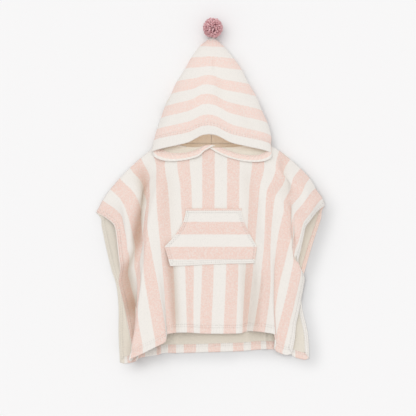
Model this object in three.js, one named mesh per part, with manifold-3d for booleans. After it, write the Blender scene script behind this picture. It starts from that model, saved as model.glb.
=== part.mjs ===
// Hooded bath poncho of striped terry, laid flat on its back, in millimetres.
// +Y points from the hem to the hood, +Z points away from the surface it lies on.
import * as THREE from 'three';
import Module from 'manifold-3d';
import { mergeVertices } from 'three/addons/utils/BufferGeometryUtils.js';

// Driving dimensions of the cut
const HALF_WIDTH = 298;
const NECK_HALF = 118;
const FRONT_NECK_DROP = 32;
const BACK_NECK_DROP = 23;
const SHOULDER_START = 9.5;
const SHOULDER_END = 58;
const NECK_TOP_Y = 131;
const TERRY = 2.4;
const SEAM_GAP = 0.3;
const POCKET = { top: 166, middle: 249, bottom: 291, topHalf: 67, bottomHalf: 122, flare: 1.8, cloth: 2 };
const HOOD_DEPTH = 266;
const HOOD_SIDE_REACH = 121;
const POMPOM = { x: 3, y: 363, z: 23.4, radius: 21.5, core: 10.5, locks: 120 };

// Shoulder roll and side roll: how far in from the seam the front has risen
const SHOULDER_ROLL = 50;
const SIDE_ROLL = 46;
const SEAM_HEIGHT = TERRY + SEAM_GAP + 1;

// How far the sleeves slope down the page, read at each distance down the cut
const SAG_START = { top: 73, low: 122 };
const SAG_POWER = 1.35;
const FRONT_SAG = [
  { down: 0, left: 121, right: 108 },
  { down: 60, left: 117, right: 101 },
  { down: 240, left: 88, right: 72 },
  { down: 440, left: 69, right: 50 },
];
const BACK_SAG = [
  { down: 0, left: 121, right: 108 },
  { down: 60, left: 117, right: 101 },
  { down: 240, left: 76, right: 66 },
  { down: 485, left: 28, right: 19 },
];

// Height of the front's middle line, and how far it drifts sideways
const FRONT_MIDDLE = [
  { down: 0, height: 30, drift: 2 },
  { down: 100, height: 38, drift: 2 },
  { down: 200, height: 34, drift: 1 },
  { down: 300, height: 27, drift: 0 },
  { down: 400, height: 19, drift: -4 },
  { down: 450, height: 15, drift: -6 },
];

// Folds of the front: where each lies across the cut at down 60 and 440, the stretch it runs over,
// the cloth it takes in at its two ends, its width, and how far the cloth climbs going outward
const FRONT_FOLDS = [
  { name: 'left valley', at60: -138, at440: -272, from: 10, to: 600,
    hide0: 20, hide1: 62, width: 84, climb0: -24, climb1: -32 },
  { name: 'left sleeve', at60: -178, at440: -250, from: 30, to: 250,
    hide0: 20, hide1: 18, width: 52, climb0: 20, climb1: 14 },
  { name: 'left cuff', at60: -262, at440: -266, from: 38, to: 600,
    hide0: 36, hide1: 2, width: 52, climb0: -12, climb1: -8 },
  { name: 'left leg', at60: -148, at440: -146, from: 170, to: 600,
    hide0: 0, hide1: 36, width: 52, climb0: 0, climb1: 22 },
  { name: 'left front', at60: -48, at440: -48, from: 60, to: 600,
    hide0: 3, hide1: 30, width: 76, climb0: 2, climb1: 8 },
  { name: 'left chest', at60: -98, at440: -98, from: 100, to: 600,
    hide0: 0, hide1: 4, width: 50, climb0: 0, climb1: 4 },
  { name: 'right front', at60: 80, at440: 92, from: 60, to: 600,
    hide0: 4, hide1: 34, width: 70, climb0: -2, climb1: -7 },
  { name: 'right chest', at60: 126, at440: 132, from: 10, to: 600,
    hide0: 3, hide1: 14, width: 44, climb0: 8, climb1: 17 },
  { name: 'right valley', at60: 130, at440: 224, from: 60, to: 600,
    hide0: 12, hide1: 58, width: 80, climb0: -12, climb1: -13 },
  { name: 'right sleeve', at60: 170, at440: 400, from: 8, to: 260,
    hide0: 18, hide1: 24, width: 60, climb0: 12, climb1: 10 },
  { name: 'right shoulder', at60: 135, at440: 135, from: -60, to: 60,
    hide0: -10, hide1: -10, width: 40, climb0: 0, climb1: 0 },
  { name: 'right side', at60: 238, at440: 256, from: 20, to: 600,
    hide0: 27, hide1: 10, width: 44, climb0: 0, climb1: 0 },
  { name: 'right cuff', at60: 288, at440: 290, from: 30, to: 420,
    hide0: 26, hide1: 4, width: 38, climb0: -12, climb1: -8 },
];

// How far the front's side edge stands open: armhole, closed side seam, then side slit
const SIDE_OPEN = [
  { down: 58, left: 0, right: 0 },
  { down: 90, left: 0.8, right: 0.8 },
  { down: 150, left: 1, right: 1 },
  { down: 200, left: 0.7, right: 0.6 },
  { down: 228, left: 0, right: 0 },
  { down: 292, left: 0, right: 0 },
  { down: 340, left: 0.6, right: 0.6 },
  { down: 450, left: 0.7, right: 0.8 },
];

// Length of each panel at points across it
const FRONT_HEM = [
  { across: -298, down: 440 },
  { across: -240, down: 454 },
  { across: -190, down: 452 },
  { across: -100, down: 440 },
  { across: 0, down: 443 },
  { across: 80, down: 442 },
  { across: 120, down: 438 },
  { across: 165, down: 431 },
  { across: 215, down: 429 },
  { across: 248, down: 444 },
  { across: 298, down: 445 },
];
const BACK_HEM = [
  { across: -298, down: 485 },
  { across: -100, down: 487 },
  { across: 0, down: 485 },
  { across: 100, down: 481 },
  { across: 200, down: 473 },
  { across: 240, down: 475 },
  { across: 262, down: 481 },
  { across: 298, down: 486 },
];

// Side edges of the back where it lies on the surface
const BACK_EDGE = [
  { y: -375, left: -203, right: 217 },
  { y: -313, left: -206, right: 214 },
  { y: -254, left: -206, right: 201 },
  { y: -205, left: -211, right: 199 },
  { y: -170, left: -222, right: 208 },
  { y: -115, left: -235, right: 224 },
  { y: -52, left: -248, right: 245 },
  { y: -30, left: -252, right: 252 },
];

// Low ridges under the front that take up the back's spare width, as shares of it
const BACK_RIDGES = [
  { at: 88, share: 0.22, width: 60, height: 3 },
  { at: 150, share: 0.33, width: 60, height: 5 },
  { at: 238, share: 0.45, width: 70, height: 6 },
];

// Rings of the hood, each parallel to the face edge: the crease, its height, and the two outlines
const HOOD_RINGS = [
  { reach: 0, ridgeX: -6, ridgeY: 126.5, crown: 62,
    leftX: -130, leftY: 92, rightX: 133, rightY: 90, side: 29 },
  { reach: 20, ridgeX: -7.7, ridgeY: 146, crown: 66,
    leftX: -125.5, leftY: 117, rightX: 130, rightY: 110, side: 22 },
  { reach: 47, ridgeX: -7.7, ridgeY: 169, crown: 68,
    leftX: -120, leftY: 140, rightX: 131, rightY: 128, side: 16 },
  { reach: 75, ridgeX: -9, ridgeY: 192.5, crown: 67,
    leftX: -111, leftY: 165, rightX: 124, rightY: 155, side: 13 },
  { reach: 102, ridgeX: -10, ridgeY: 214.5, crown: 63,
    leftX: -102, leftY: 190, rightX: 111, rightY: 181.5, side: 12 },
  { reach: 129, ridgeX: -10, ridgeY: 235, crown: 57,
    leftX: -89, leftY: 217, rightX: 98, rightY: 212, side: 12 },
  { reach: 157, ridgeX: -7, ridgeY: 256, crown: 50,
    leftX: -76, leftY: 245, rightX: 82.5, rightY: 239, side: 12 },
  { reach: 184, ridgeX: -1, ridgeY: 276, crown: 42,
    leftX: -58, leftY: 273, rightX: 67, rightY: 269.5, side: 11 },
  { reach: 211, ridgeX: -1, ridgeY: 298, crown: 33,
    leftX: -45, leftY: 297, rightX: 49.5, rightY: 295, side: 10 },
  { reach: 239, ridgeX: 1, ridgeY: 321, crown: 24,
    leftX: -25, leftY: 323, rightX: 27.5, rightY: 321, side: 9 },
  { reach: 266, ridgeX: 2, ridgeY: 343, crown: 15, leftX: -4, leftY: 341, rightX: 7, rightY: 341, side: 7 },
];

// How a ring falls away from the crease to the outline, as shares of the way
const HOOD_FALL = [
  { across: 0, fall: 0 },
  { across: 0.12, fall: 0.07 },
  { across: 0.23, fall: 0.27 },
  { across: 0.35, fall: 0.5 },
  { across: 0.55, fall: 0.68 },
  { across: 0.8, fall: 0.86 },
  { across: 1, fall: 1 },
];
const HOOD_OVERLAP = { left: 9, right: -6, lift: 4.5 };
const HOOD_TURN = 12;
const WING_CLEARANCE = 4.4;
const WING_BRIDGE = 9;

const { clamp, lerp } = THREE.MathUtils;
const ease = (t) => THREE.MathUtils.smoothstep(t, 0, 1);
// A slope with an even middle and rounded ends
const ramp = (t) => {
  const s = clamp(t, 0, 1);
  if (s < 0.25) return (s * s) / 0.375;
  if (s > 0.75) return 1 - (1 - s) ** 2 / 0.375;
  return (s - 0.125) / 0.75;
};
const rise = (t) => Math.sqrt(1 - (1 - clamp(t, 0, 1)) ** 2);

// Reads one column of a table at any value of its key, along a smooth curve through the rows
function read(table, key, column, at) {
  const last = table.length - 1;
  if (at <= table[0][key]) return table[0][column];
  if (at >= table[last][key]) return table[last][column];
  const i = table.findIndex((row) => row[key] > at) - 1;
  const slope = (j) => {
    const a = table[Math.max(j - 1, 0)];
    const b = table[Math.min(j + 1, last)];
    return (b[column] - a[column]) / (b[key] - a[key]);
  };
  const span = table[i + 1][key] - table[i][key];
  const t = (at - table[i][key]) / span;
  const leaving = (t ** 3 - 2 * t ** 2 + t) * span * slope(i);
  const start = (2 * t ** 3 - 3 * t ** 2 + 1) * table[i][column] + leaving;
  const end = (3 * t ** 2 - 2 * t ** 3) * table[i + 1][column] + (t ** 3 - t ** 2) * span * slope(i + 1);
  return start + end;
}

const sideOf = (across) => (across < 0 ? 'left' : 'right');

function sag(table, across, down) {
  const start = lerp(SAG_START.top, SAG_START.low, ease((down - 60) / 100));
  const share = Math.max(0, (Math.abs(across) - start) / (HALF_WIDTH - start));
  return read(table, 'down', sideOf(across), down) * share ** SAG_POWER;
}

// Distance down the cut of a panel's top edge: a neckline, then the sloping shoulder
function topEdge(across, neckDrop) {
  const a = Math.abs(across);
  if (a < NECK_HALF) return neckDrop - (neckDrop - SHOULDER_START) * (a / NECK_HALF) ** 4;
  const t = (a - NECK_HALF) / (HALF_WIDTH - NECK_HALF);
  return SHOULDER_START + (SHOULDER_END - SHOULDER_START) * t;
}

// Sideways place and height of the front after its folds
function foldFront(across, down) {
  let x = across + read(FRONT_MIDDLE, 'down', 'drift', down);
  let z = read(FRONT_MIDDLE, 'down', 'height', down);
  for (const fold of FRONT_FOLDS) {
    const at = lerp(fold.at60, fold.at440, (down - 60) / 380);
    const outward = Math.sign(at);
    const present = ease((down - fold.from) / 60) * ease((fold.to - down) / 60);
    const run = clamp((down - fold.from) / (Math.min(fold.to, 440) - fold.from), 0, 1);
    const past = ramp((outward * (across - at)) / fold.width + 0.5);
    x -= outward * present * lerp(fold.hide0, fold.hide1, run) * past;
    z += present * lerp(fold.climb0, fold.climb1, run) * past;
  }
  return { x, z };
}

// Middle surface of the front panel at a place in its cut
function frontPoint(across, down) {
  const folded = foldFront(across, down);
  const a = Math.abs(across);
  const top = topEdge(across, FRONT_NECK_DROP);
  const neckLift = ease((NECK_HALF - a) / 62);
  const open = clamp(read(SIDE_OPEN, 'down', sideOf(across), down), 0, 1);
  const shoulder = neckLift + (1 - neckLift) * rise((down - top) / SHOULDER_ROLL);
  const edge = open + (1 - open) * rise((HALF_WIDTH - a) / SIDE_ROLL);
  const height = SEAM_HEIGHT + shoulder * edge * (folded.z - SEAM_HEIGHT);
  return new THREE.Vector3(folded.x, NECK_TOP_Y - down - sag(FRONT_SAG, across, down), height);
}

// Middle surface of the back panel: flat on the surface but for its low ridges
function backPoint(across, down) {
  const outward = Math.sign(across) || 1;
  const a = Math.abs(across);
  const y = NECK_TOP_Y - down - sag(BACK_SAG, across, down);
  const spare = HALF_WIDTH - Math.abs(read(BACK_EDGE, 'y', sideOf(across), y));
  const top = topEdge(across, BACK_NECK_DROP);
  const free = ease((down - top) / 36);
  let x = a;
  let z = TERRY / 2;
  for (const ridge of BACK_RIDGES) {
    const past = ease((a - ridge.at) / ridge.width + 0.5);
    x -= spare * ridge.share * past;
    z += free * ridge.height * Math.max(0, 4 * past * (1 - past) - 0.25);
  }
  const seamX = foldFront(across, down).x;
  return new THREE.Vector3(lerp(seamX, outward * x, free), y, z);
}

// Cut place of the front that lies over a place on the page, and the front's height there
function frontHeightAt(x, y) {
  let across = clamp(x, -HALF_WIDTH, HALF_WIDTH);
  let down = NECK_TOP_Y - y;
  for (let i = 0; i < 6; i += 1) {
    down = Math.max(topEdge(across, FRONT_NECK_DROP), NECK_TOP_Y - y - sag(FRONT_SAG, across, down));
    across = clamp(across + x - foldFront(across, down).x, -HALF_WIDTH, HALF_WIDTH);
  }
  return frontPoint(across, down).z;
}

// Closed wall of cloth around a grid of points on its middle surface
function clothWall(columns, rows, thickness, pointAt) {
  const grid = [];
  for (let j = 0; j <= rows; j += 1) {
    const line = [];
    for (let i = 0; i <= columns; i += 1) line.push(pointAt(i / columns, j / rows));
    grid.push(line);
  }
  const positions = [];
  for (const side of [1, -1]) {
    for (let j = 0; j <= rows; j += 1) {
      for (let i = 0; i <= columns; i += 1) {
        const across = grid[j][Math.min(i + 1, columns)].clone().sub(grid[j][Math.max(i - 1, 0)]);
        const along = grid[Math.max(j - 1, 0)][i].clone().sub(grid[Math.min(j + 1, rows)][i]);
        const normal = across.cross(along).normalize();
        const point = grid[j][i].clone().addScaledVector(normal, (side * thickness) / 2);
        positions.push(point.x, point.y, point.z);
      }
    }
  }
  const under = (columns + 1) * (rows + 1);
  const at = (i, j) => j * (columns + 1) + i;
  const faces = [];
  const quad = (a, b, c, d) => faces.push(a, b, c, a, c, d);
  for (let j = 0; j < rows; j += 1) {
    for (let i = 0; i < columns; i += 1) {
      quad(at(i, j), at(i, j + 1), at(i + 1, j + 1), at(i + 1, j));
      quad(under + at(i, j), under + at(i + 1, j), under + at(i + 1, j + 1), under + at(i, j + 1));
    }
  }
  for (let i = 0; i < columns; i += 1) {
    quad(at(i, 0), at(i + 1, 0), under + at(i + 1, 0), under + at(i, 0));
    quad(at(i + 1, rows), at(i, rows), under + at(i, rows), under + at(i + 1, rows));
  }
  for (let j = 0; j < rows; j += 1) {
    quad(at(0, j + 1), at(0, j), under + at(0, j), under + at(0, j + 1));
    quad(at(columns, j), at(columns, j + 1), under + at(columns, j + 1), under + at(columns, j));
  }
  const geometry = new THREE.BufferGeometry();
  geometry.setAttribute('position', new THREE.Float32BufferAttribute(positions, 3));
  geometry.setIndex(faces);
  geometry.computeVertexNormals();
  return geometry;
}

// Columns crowd toward the side edges and rows toward the top edge, where the cloth turns most
const acrossAt = (s) => (HALF_WIDTH * Math.sin((2 * s - 1) * 1.32)) / Math.sin(1.32);
const downAt = (t, top, hem) => top + (hem - top) * t ** 1.4;

function frontPanel() {
  return clothWall(60, 22, TERRY, (s, t) => {
    const across = acrossAt(s);
    const hem = read(FRONT_HEM, 'across', 'down', across);
    return frontPoint(across, downAt(t, topEdge(across, FRONT_NECK_DROP), hem));
  });
}

function backPanel() {
  return clothWall(36, 14, TERRY, (s, t) => {
    const across = acrossAt(s);
    const hem = read(BACK_HEM, 'across', 'down', across);
    return backPoint(across, downAt(t, topEdge(across, BACK_NECK_DROP), hem));
  });
}

// Pouch pocket: the front's own points, moved out by both half walls and the seam gap
function pocket() {
  const lift = (TERRY + POCKET.cloth) / 2 + SEAM_GAP + 0.1;
  return clothWall(14, 9, POCKET.cloth, (s, t) => {
    const down = lerp(POCKET.top, POCKET.bottom, t);
    const slant = clamp((down - POCKET.top) / (POCKET.middle - POCKET.top), 0, 1);
    const half = lerp(POCKET.topHalf, POCKET.bottomHalf, slant ** POCKET.flare);
    const across = (2 * s - 1) * half;
    const here = frontPoint(across, down);
    const right = frontPoint(across + 2, down).sub(here);
    const up = frontPoint(across, down - 2).sub(here);
    return here.addScaledVector(right.cross(up).normalize(), lift);
  });
}

// Where a ring of the hood is sewn to the neckline: front first, then round the shoulder to the nape
function neckEnd(outward, reach) {
  const centre = outward < 0 ? HOOD_OVERLAP.left : -HOOD_OVERLAP.right;
  const edge = NECK_HALF - 2;
  const onFront = reach <= HOOD_SIDE_REACH;
  const run = onFront ? reach / HOOD_SIDE_REACH : (HOOD_DEPTH - reach) / (HOOD_DEPTH - HOOD_SIDE_REACH);
  const a = onFront ? lerp(-centre, edge, run) : lerp(SEAM_GAP + TERRY / 2, edge, run);
  const x = outward * a;
  const down = topEdge(x, onFront ? FRONT_NECK_DROP : BACK_NECK_DROP);
  const y = NECK_TOP_Y - down - sag(FRONT_SAG, x, down);
  return new THREE.Vector2(x, y + (onFront ? 0 : SEAM_GAP + 0.2));
}

// Half a ring of the hood, from its crease over the outline and down to the neckline
function hoodPoint(outward, reach, t) {
  const side = outward < 0 ? 'left' : 'right';
  const ring = (column) => read(HOOD_RINGS, 'reach', column, reach);
  const outline = new THREE.Vector2(ring(`${side}X`), ring(`${side}Y`));
  const sideHeight = ring('side');
  if (t <= 0.5) {
    const turn = t * Math.PI;
    const x = lerp(ring('ridgeX'), outline.x, Math.sin(turn));
    const y = lerp(ring('ridgeY'), outline.y, read(HOOD_FALL, 'across', 'fall', Math.sin(turn)));
    return new THREE.Vector3(x, y, lerp(sideHeight, ring('crown'), Math.cos(turn)));
  }
  const end = neckEnd(outward, reach);
  const third = end.clone().sub(outline).divideScalar(3);
  const wing = (1 - Math.min(reach / HOOD_SIDE_REACH, 1)) ** 2;
  const hang = 1 - ease(reach / 140);
  const drop = Math.min(31 + 0.6 * reach, 50);
  const first = outline.clone().add(third).lerp(new THREE.Vector2(outline.x, outline.y - drop), hang);
  const second = end.clone().add(new THREE.Vector2(outward * 52, -40).multiplyScalar(wing))
    .sub(third.clone().multiplyScalar(1 - wing));
  const route = new THREE.CubicBezierCurve(outline, first, second, end);
  const k = (t - 0.5) * 2;
  const corner = Math.min(k / 0.3, 1) * (Math.PI / 2);
  const length = route.getLength();
  const gone = Math.min(HOOD_TURN, length / 2) * (1 - Math.cos(corner));
  const rest = (length - Math.min(HOOD_TURN, length / 2)) * clamp((k - 0.3) / 0.7, 0, 1);
  const place = route.getPointAt(clamp((gone + rest) / length, 0, 1));
  const onFront = ease((138 - reach) / 22);
  const cross = (outward < 0 ? HOOD_OVERLAP.lift : 0) * ease((60 - Math.abs(place.x)) / 40);
  const inward = place.x - outward * WING_BRIDGE;
  const over = WING_CLEARANCE + cross + Math.max(
    frontHeightAt(place.x, place.y),
    frontHeightAt(inward, place.y),
    frontHeightAt(place.x, place.y - WING_BRIDGE),
    frontHeightAt(inward, place.y - WING_BRIDGE),
  );
  const floor = lerp(TERRY / 2, over, onFront);
  const height = floor + Math.max(0, sideHeight - floor) * (1 - Math.sin(corner));
  return new THREE.Vector3(place.x, place.y, height);
}

function hood() {
  return clothWall(40, 16, TERRY, (s, t) => {
    const outward = s < 0.5 ? -1 : 1;
    return hoodPoint(outward, HOOD_DEPTH * (1 - t), Math.abs(2 * s - 1));
  });
}

// Yarn pompom: locks round a core, with a short stitched stalk to the tip of the hood
const wasm = await Module();
wasm.setup();

function toSolid(geometry) {
  const plain = geometry.clone();
  plain.deleteAttribute('normal');
  plain.deleteAttribute('uv');
  const merged = mergeVertices(plain, 1e-4);
  return new wasm.Manifold(new wasm.Mesh({
    numProp: 3,
    vertProperties: new Float32Array(merged.attributes.position.array),
    triVerts: new Uint32Array(merged.index.array),
  }));
}

function toGeometry(solid) {
  const mesh = solid.getMesh();
  const geometry = new THREE.BufferGeometry();
  geometry.setAttribute('position', new THREE.Float32BufferAttribute(mesh.vertProperties, 3));
  geometry.setIndex(Array.from(mesh.triVerts));
  geometry.computeVertexNormals();
  return geometry;
}

function rod(from, to, startRadius, endRadius, sides) {
  const way = to.clone().sub(from);
  const geometry = new THREE.CylinderGeometry(endRadius, startRadius, way.length(), sides);
  const upright = new THREE.Vector3(0, 1, 0);
  geometry.applyQuaternion(new THREE.Quaternion().setFromUnitVectors(upright, way.clone().normalize()));
  const middle = from.clone().lerp(to, 0.5);
  return geometry.translate(middle.x, middle.y, middle.z);
}

function pompom() {
  const centre = new THREE.Vector3(POMPOM.x, POMPOM.y, POMPOM.z);
  const tip = new THREE.Vector3(1.5, 343.55, 11.4);
  const toTip = tip.clone().sub(centre).normalize();
  const core = new THREE.IcosahedronGeometry(POMPOM.core, 1).translate(centre.x, centre.y, centre.z);
  let solid = toSolid(core).add(toSolid(rod(centre, tip, 3, 2, 6)));
  for (let i = 0; i < POMPOM.locks; i += 1) {
    const height = 1 - (2 * (i + 0.5)) / POMPOM.locks;
    const turn = i * Math.PI * (3 - Math.sqrt(5));
    const level = Math.sqrt(1 - height ** 2);
    const way = new THREE.Vector3(level * Math.cos(turn), level * Math.sin(turn), height);
    if (way.dot(toTip) > 0.86) continue;
    const reach = POMPOM.radius * (0.93 + 0.07 * Math.sin(i * 2.4));
    const from = centre.clone().addScaledVector(way, POMPOM.core * 0.6);
    const to = centre.clone().addScaledVector(way, reach);
    solid = solid.add(toSolid(rod(from, to, 1, 1.7, 4)));
  }
  return toGeometry(solid);
}

const PIECES = [
  { name: 'back_panel', make: backPanel, color: '#f3e6df', roughness: 0.95 },
  { name: 'front_panel', make: frontPanel, color: '#f6ebe6', roughness: 0.95 },
  { name: 'hood', make: hood, color: '#f4e4dd', roughness: 0.95 },
  { name: 'pocket', make: pocket, color: '#f0d9cf', roughness: 0.95 },
  { name: 'pompom', make: pompom, color: '#b8848c', roughness: 0.9 },
];

const poncho = new THREE.Group();
for (const piece of PIECES) {
  const { color, roughness } = piece;
  const mesh = new THREE.Mesh(piece.make(), new THREE.MeshStandardMaterial({ color, roughness, metalness: 0 }));
  mesh.name = piece.name;
  poncho.add(mesh);
}

// The origin is the middle of the outer box, on the surface below
const box = new THREE.Box3().setFromObject(poncho);
const middle = box.getCenter(new THREE.Vector3());
poncho.position.set(-middle.x, -middle.y, -box.min.z);

export default poncho;
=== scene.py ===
"""Looks of a hooded bath poncho in striped terry, laid flat on its back.

The panels follow the same tables as the solids, in millimetres on the cut, and
become thin shells of cloth with hems, creases, stitches and a yarn pompom.
"""

import logging
import math
import random
from dataclasses import dataclass, field
from enum import Enum

import bmesh
import bpy
import numpy as np
from mathutils import Matrix, Vector, noise

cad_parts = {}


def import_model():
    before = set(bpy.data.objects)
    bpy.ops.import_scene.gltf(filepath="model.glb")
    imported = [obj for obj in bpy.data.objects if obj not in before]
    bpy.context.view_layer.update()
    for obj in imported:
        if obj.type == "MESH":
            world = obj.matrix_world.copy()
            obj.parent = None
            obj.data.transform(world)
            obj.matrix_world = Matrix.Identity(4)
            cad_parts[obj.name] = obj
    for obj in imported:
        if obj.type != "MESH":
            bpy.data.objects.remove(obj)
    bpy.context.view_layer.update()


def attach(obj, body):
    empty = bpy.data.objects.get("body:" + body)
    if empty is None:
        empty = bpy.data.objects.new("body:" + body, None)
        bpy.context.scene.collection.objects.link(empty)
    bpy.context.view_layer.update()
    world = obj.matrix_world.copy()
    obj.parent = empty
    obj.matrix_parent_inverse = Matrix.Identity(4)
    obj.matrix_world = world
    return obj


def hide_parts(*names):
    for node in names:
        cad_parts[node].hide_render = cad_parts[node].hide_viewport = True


LOG = logging.getLogger("poncho")
MM = 0.001
# From the middle of the neckline's frame to the middle of the solids' box, in millimetres
CENTRING = np.array((2.119, -1.271, 0.0))
# One pale and one coloured stripe together
PERIOD = 54.8

Colour = tuple[float, float, float]
Number = float | np.ndarray
Value = bpy.types.NodeSocket | float | tuple[float, ...]


class Side(Enum):
    """Left and right of the poncho as it is seen from above."""

    LEFT = -1
    RIGHT = 1


class Face(Enum):
    """The two faces of the cloth."""

    OUTSIDE = "striped"
    REVERSE = "plain"


def ease(t: np.ndarray) -> np.ndarray:
    """Smooth step from 0 to 1."""
    t = np.clip(t, 0.0, 1.0)
    return t * t * (3.0 - 2.0 * t)


def ramp(t: np.ndarray) -> np.ndarray:
    """Slope from 0 to 1 with an even middle and rounded ends."""
    end = 0.25
    bend = 2 * end * (1 - end)
    s = np.clip(t, 0.0, 1.0)
    low = s * s / bend
    high = 1.0 - (1.0 - s) ** 2 / bend
    return np.where(s < end, low, np.where(s > 1 - end, high, (s - end / 2) / (1 - end)))


def rise(t: np.ndarray) -> np.ndarray:
    """Quarter of a round edge, from 0 to 1."""
    return np.sqrt(1.0 - (1.0 - np.clip(t, 0.0, 1.0)) ** 2)


def lerp(a: Number, b: Number, t: Number) -> Number:
    """Value between two others."""
    return a + (b - a) * t


def crowd(t: np.ndarray, share: float) -> np.ndarray:
    """Shares that crowd toward both ends."""
    return share * t + (1 - share) * (1 - np.cos(math.pi * t)) / 2


def wander(points: np.ndarray, size: float, seed: float) -> np.ndarray:
    """Smooth random heights between about -1 and 1 over places on a cut.

    Args:
        points: one row for each place, in millimetres.
        size: distance over which the heights change, in millimetres.
        seed: moves the pattern, so that no two panels match.

    Returns:
        One height for each place.
    """
    return np.array([noise.noise(Vector((u / size, v / size, seed))) for u, v in points])


@dataclass(frozen=True)
class Table:
    """Rows of named numbers that are read along a smooth curve."""

    columns: tuple[str, ...]
    rows: tuple[tuple[float, ...], ...]

    def read(self, column: str, at: np.ndarray) -> np.ndarray:
        """Reads one column at any values of the first one.

        Args:
            column: name of the column to read.
            at: values of the first column.

        Returns:
            The values of the column there, held past both ends.
        """
        data = np.array(self.rows, float)
        key, value = data[:, 0], data[:, self.columns.index(column)]
        last = len(key) - 1
        before = np.maximum(np.arange(last + 1) - 1, 0)
        after = np.minimum(np.arange(last + 1) + 1, last)
        slope = (value[after] - value[before]) / (key[after] - key[before])
        at = np.clip(np.asarray(at, float), key[0], key[-1])
        i = np.clip(np.searchsorted(key, at, side="right") - 1, 0, last - 1)
        span = key[i + 1] - key[i]
        t = (at - key[i]) / span
        start = (2 * t**3 - 3 * t**2 + 1) * value[i] + (t**3 - 2 * t**2 + t) * span * slope[i]
        end = (3 * t**2 - 2 * t**3) * value[i + 1] + (t**3 - t**2) * span * slope[i + 1]
        return start + end


@dataclass(frozen=True)
class Fold:
    """A fold of the front: its line on the cut, the cloth it takes in and how far it climbs."""

    at_near: float
    at_far: float
    start: float
    stop: float
    hide: tuple[float, float]
    width: float
    climb: tuple[float, float]


@dataclass(frozen=True)
class Crease:
    """A soft trough or ridge drawn on a panel's cut, in millimetres, which can carry painted shade
    along it.
    """

    start: tuple[float, float]
    end: tuple[float, float]
    width: float
    height: float
    bow: float = 0.0
    # Painted shade: how much darker the cloth's colour is made along the crease
    shade: float = 0.0
    taper: float = 0.3

    def strength(self, u: np.ndarray, v: np.ndarray) -> np.ndarray:
        """How strong the crease is at places on the cut.

        Args:
            u: places across the cut.
            v: places along the cut.

        Returns:
            Shares of the crease's full height, 0 to 1.
        """
        (u0, v0), (u1, v1) = self.start, self.end
        length = math.hypot(u1 - u0, v1 - v0)
        way_u, way_v = (u1 - u0) / length, (v1 - v0) / length
        along = ((u - u0) * way_u + (v - v0) * way_v) / length
        aside = -(u - u0) * way_v + (v - v0) * way_u - self.bow * 4 * along * (1 - along)
        body = ease(along / self.taper) * ease((1 - along) / self.taper)
        return body * np.exp(-((aside / self.width) ** 2))


# The sixth number of a crease, where given, is painted shade on the cloth's colour; creases of height
# 0 are painted shade alone
FRONT_CREASES = (
    Crease((-160, 24), (-252, 244), 15, -13, 8, 0.76),
    Crease((-236, 60), (-262, 150), 16, 3),
    Crease((-266, 176), (-284, 350), 24, -4, 0, 0.68),
    Crease((-274, 280), (-282, 470), 20, -4, 0, 0.55),
    Crease((-210, 250), (-232, 420), 9, -3, 4, 0.08),
    Crease((-116, 216), (-106, 468), 11, -6, -3, 0.50),
    Crease((-160, 280), (-160, 452), 16, 3),
    Crease((-96, 50), (-112, 250), 14, -3, 5, 0.10),
    Crease((-60, 300), (-52, 450), 12, -2),
    Crease((-10, 310), (2, 452), 16, 1.5),
    Crease((70, 52), (98, 245), 14, -3.5, -5, 0.10),
    Crease((88, 258), (124, 468), 26, -4, 4, 0.26),
    Crease((122, 275), (152, 470), 10, 0, 0, 0.20),
    Crease((142, 290), (152, 448), 7, -5, 0, 0.16),
    Crease((156, 270), (176, 450), 9, 0, 0, 0.08),
    Crease((118, 90), (132, 240), 14, 2.5),
    Crease((142, 10), (200, 120), 12, -7, -4, 0.14),
    Crease((206, 100), (280, 226), 13, -8, -6, 0.30),
    Crease((198, 230), (226, 400), 13, -3, 5, 0.06),
    Crease((238, 40), (262, 120), 15, 2.5),
)
BACK_CREASES = (
    Crease((-190, 180), (-206, 440), 12, 2.5, 5),
    Crease((-70, 60), (-88, 300), 16, 2),
    Crease((60, 90), (82, 400), 14, 2.5, -6),
    Crease((186, 120), (206, 420), 12, 2.5, 4),
    Crease((-20, 300), (-8, 470), 12, 1.5),
    # Painted shadow on the back just below the front's hem, with no relief
    Crease((-230, 452), (240, 446), 20, 0, 0, 0.2),
)
HOOD_CREASES = (
    Crease((6, 166), (5, 214), 3, -1.6, 0, 0.06),
    Crease((18, 60), (26, 168), 9, -1.6, 3, 0.05),
    Crease((-34, 30), (-22, 128), 12, 1.4),
    Crease((60, 20), (46, 118), 12, -1.2, -4, 0.04),
    Crease((-70, 24), (-60, 96), 10, -1.2),
    Crease((-180, 60), (-170, 200), 14, 1.2),
    Crease((176, 60), (184, 190), 14, 1.2),
)


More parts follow.
